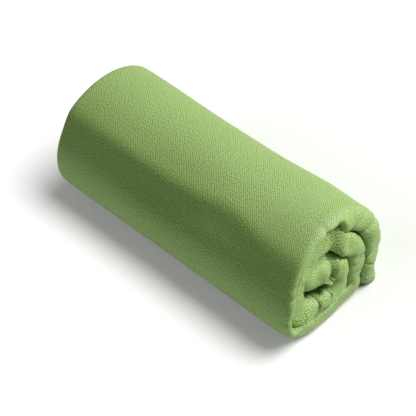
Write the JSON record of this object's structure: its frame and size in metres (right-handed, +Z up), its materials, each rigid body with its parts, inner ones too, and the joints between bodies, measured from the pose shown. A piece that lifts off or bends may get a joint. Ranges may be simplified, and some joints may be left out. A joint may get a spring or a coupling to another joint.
{
  "type": "quick dry towel",
  "caption": "Thin knitted quick dry travel towel, folded to four plies and rolled up, with hems and a loose end that opens.",
  "frame": {"origin": "centre of the roll's footprint, on the surface that it lies on", "axes": "+X along the roll from the hemmed end to the folded end, +Z up, +Y to the side where the loose end comes down"},
  "size_m": [0.3, 0.1359, 0.1225],
  "materials": {
    "towel_knit": "matt knitted microfibre, fine birdseye texture",
    "hem_knit": "the same knit, doubled",
    "sewing_thread": "polyester thread, slight sheen"
  },
  "bodies": {
    "roll": {"roll_cloth": "towel_knit", "roll_short_hem_a": "hem_knit", "roll_short_hem_a_stitching": "sewing_thread", "roll_short_hem_b": "hem_knit", "roll_short_hem_b_stitching": "sewing_thread", "core_long_hem": "hem_knit", "core_long_hem_stitching": "sewing_thread"},
    "back_panel": {"back_panel_cloth": "towel_knit", "back_panel_short_hem_a": "hem_knit", "back_panel_short_hem_a_stitching": "sewing_thread", "back_panel_short_hem_b": "hem_knit", "back_panel_short_hem_b_stitching": "sewing_thread"},
    "loose_end": {"loose_end_cloth": "towel_knit", "loose_end_short_hem_a": "hem_knit", "loose_end_short_hem_a_stitching": "sewing_thread", "loose_end_short_hem_b": "hem_knit", "loose_end_short_hem_b_stitching": "sewing_thread", "loose_end_long_hem": "hem_knit", "loose_end_long_hem_stitching": "sewing_thread"}
  },
  "joints": [
    {"name": "upper_unroll", "type": "hinge", "parent": "roll", "child": "back_panel", "pos_m": [0, 0.0319, 0.1145], "axis": [1, 0, 0], "range_deg": [0, 110]},
    {"name": "lower_unroll", "type": "hinge", "parent": "back_panel", "child": "loose_end", "pos_m": [0, 0.0665, 0.0686], "axis": [1, 0, 0], "range_deg": [0, 50]}
  ],
  "couplings": [
    {"joint": "lower_unroll", "follows": "upper_unroll", "ratio": 0.45}
  ]
}
